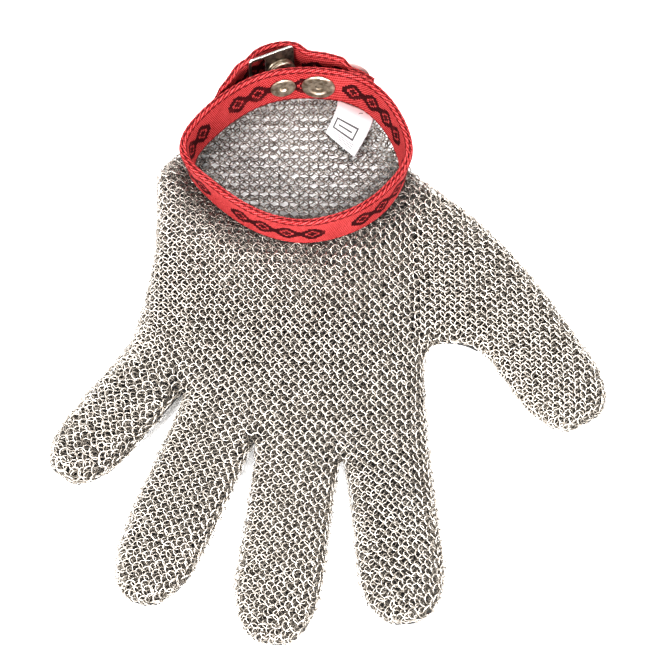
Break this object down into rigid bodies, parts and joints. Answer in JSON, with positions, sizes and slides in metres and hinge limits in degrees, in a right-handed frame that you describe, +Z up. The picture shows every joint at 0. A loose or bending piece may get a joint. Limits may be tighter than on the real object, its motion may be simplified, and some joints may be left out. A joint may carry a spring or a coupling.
{
  "type": "chainmail glove",
  "caption": "Hollow mail glove of small linked rings with separate fingers and thumb, closed at the wrist by a woven strap with a press stud.",
  "frame": {"origin": "on the flat underside of the palm, under its middle", "axes": "+Z up from the surface the glove lies on, fingers towards -Y, wrist mouth towards +Y, thumb towards +X"},
  "size_m": [0.2219, 0.2569, 0.0355],
  "materials": {
    "mail_links": "satin welded rings",
    "red_webbing": "woven, thick selvedge",
    "clasp_metal": "polished plate",
    "stud_metal": "worn plating",
    "label_satin": "satin tape"
  },
  "bodies": {
    "root": {"mail_palm": "mail_links", "mail_thumb": "mail_links", "mail_index": "mail_links", "mail_middle": "mail_links", "mail_ring": "mail_links", "mail_little": "mail_links", "strap_loop": "red_webbing", "strap_tail": "red_webbing", "clasp_plate": "clasp_metal", "stud_post": "stud_metal", "stud_socket": "stud_metal", "strap_rivet": "stud_metal", "tail_rivet": "clasp_metal", "label": "label_satin"}
  },
  "joints": []
}
